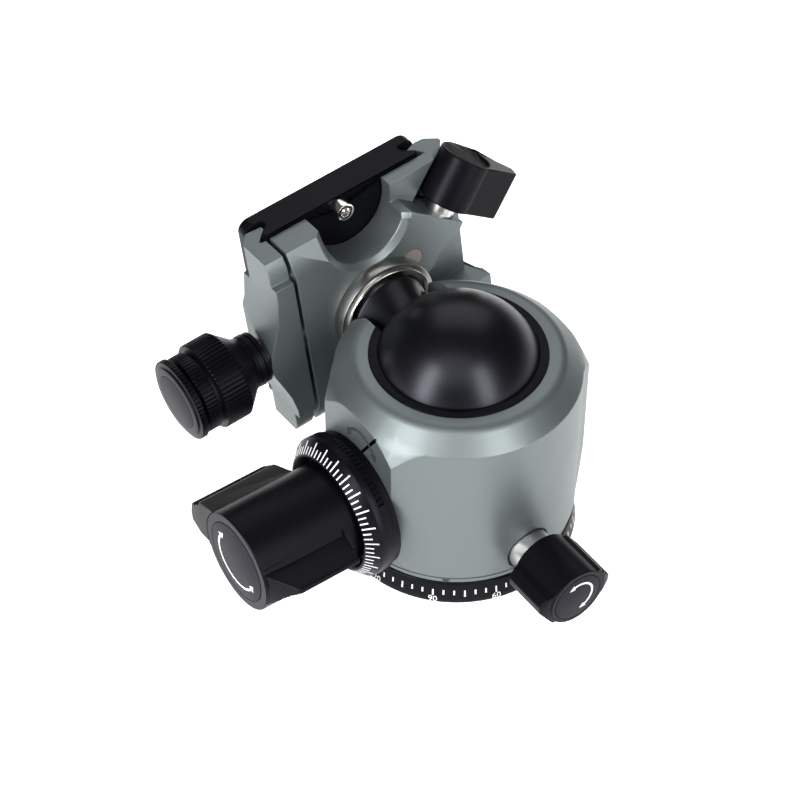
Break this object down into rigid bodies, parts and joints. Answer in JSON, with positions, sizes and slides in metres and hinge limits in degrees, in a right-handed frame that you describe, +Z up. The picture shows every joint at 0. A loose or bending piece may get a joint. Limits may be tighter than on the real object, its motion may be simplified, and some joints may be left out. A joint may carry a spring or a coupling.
{
  "type": "tripod ball head",
  "caption": "Tripod ball head with a notched housing, pan base with degree ring, lock knobs, friction dial and a turning dovetail clamp holding a sliding camera plate.",
  "frame": {"origin": "centre of the tripod thread's mouth plane, on the pan axis at the face that sits on the tripod", "axes": "+Z up the pan axis, -X out along the main lock, -Y out along the pan lock, +Y out of the drop notch"},
  "size_m": [0.0805, 0.0809, 0.0607],
  "materials": {
    "grey_anodised": "bead-blasted anodised, satin",
    "black_anodised": "satin black anodised",
    "ball_black": "smooth satin black anodised",
    "liner_polymer": "dark grey polymer",
    "knob_inlay": "dark grey inlay",
    "bright_steel": "polished stainless",
    "satin_steel": "turned stainless",
    "silver_aluminium": "matte silver anodised",
    "brass": "turned brass",
    "white_polymer": "acetal",
    "rubber": "ribbed rubber",
    "bronze_tab": "brown-grey sintered steel"
  },
  "bodies": {
    "base": {"base_plate": "black_anodised", "degree_ring": "black_anodised", "base_pad": "rubber", "thread_bush": "satin_steel", "pan_spindle": "satin_steel", "spindle_nut": "satin_steel", "thrust_washer": "brass", "base_screws": "satin_steel"},
    "housing": {"housing_shell": "grey_anodised", "ball_liner": "liner_polymer", "ball_seat": "white_polymer", "lock_wedges": "brass", "bottom_ring": "silver_aluminium", "pan_brake_shoe": "brass", "dial_seat": "black_anodised", "dial_springs": "satin_steel", "shaft_cap": "silver_aluminium", "ring_grubs": "satin_steel"},
    "main_lock": {"main_shaft": "satin_steel", "main_knob": "black_anodised", "main_knob_disc": "knob_inlay", "main_knob_screw": "satin_steel"},
    "dial": {"friction_dial": "black_anodised"},
    "pan_lock": {"pan_screw": "satin_steel", "pan_knob": "black_anodised", "pan_knob_disc": "knob_inlay"},
    "ball": {"ball_stem": "ball_black", "stem_collar": "bright_steel", "stem_bolt": "satin_steel", "bolt_washer": "brass"},
    "clamp": {"clamp_body": "grey_anodised", "hub_ring": "satin_steel", "hub_index": "bronze_tab", "jaw_pins": "satin_steel", "turn_cotter": "brass"},
    "clamp_lock": {"turn_knob": "black_anodised", "turn_stud": "satin_steel"},
    "jaw": {"moving_jaw": "grey_anodised"},
    "quick_release": {"qr_knob": "black_anodised", "qr_knob_disc": "knob_inlay", "qr_stud": "satin_steel"},
    "plate": {"camera_plate": "black_anodised", "plate_pads": "rubber", "stop_screws": "bright_steel"},
    "plate_screw": {"camera_screw": "satin_steel"}
  },
  "joints": [
    {"name": "pan_turn", "type": "hinge", "parent": "base", "child": "housing", "pos_m": [0, 0, 0], "axis": [0, 0, 1], "continuous": true},
    {"name": "main_knob_turn", "type": "hinge", "parent": "housing", "child": "main_lock", "pos_m": [-0.03, 0, 0.0187], "axis": [-1, 0, 0], "range_deg": [-180, 90]},
    {"name": "dial_turn", "type": "hinge", "parent": "housing", "child": "dial", "pos_m": [-0.025, 0, 0.0187], "axis": [-1, 0, 0], "range_deg": [-150, 120]},
    {"name": "pan_knob_turn", "type": "hinge", "parent": "housing", "child": "pan_lock", "pos_m": [0, -0.03, 0.0105], "axis": [0, -1, 0], "range_deg": [-180, 90]},
    {"name": "ball_tilt", "type": "hinge", "parent": "housing", "child": "ball", "pos_m": [0, 0, 0.0372], "axis": [1, 0, 0], "range_deg": [0, 132]},
    {"name": "clamp_turn", "type": "hinge", "parent": "ball", "child": "clamp", "pos_m": [0, 0.02496, 0.03576], "axis": [0, 0.9983, -0.0576], "range_deg": [-50, 50]},
    {"name": "clamp_knob_turn", "type": "hinge", "parent": "clamp", "child": "clamp_lock", "pos_m": [0.01644, 0.02817, 0.04799], "axis": [0.5635, 0.0476, 0.8247], "range_deg": [-100, 0]},
    {"name": "jaw_slide", "type": "slide", "parent": "clamp", "child": "jaw", "axis": [-0.9966, -0.0047, -0.0818], "range_m": [0, 0.0025]},
    {"name": "quick_release_turn", "type": "hinge", "parent": "jaw", "child": "quick_release", "pos_m": [-0.02986, 0.02868, 0.03258], "axis": [-0.9966, -0.0047, -0.0818], "range_deg": [0, 722]},
    {"name": "plate_slide", "type": "slide", "parent": "clamp", "child": "plate", "axis": [-0.0819, 0.0574, 0.995], "range_m": [-0.006, 0.006]},
    {"name": "camera_screw_turn", "type": "hinge", "parent": "plate", "child": "plate_screw", "pos_m": [0, 0.03394, 0.03524], "axis": [0, 0.9983, -0.0576], "continuous": true}
  ],
  "couplings": [
    {"joint": "quick_release_turn", "follows": "jaw_slide", "rad_per_m": 5026.5}
  ]
}
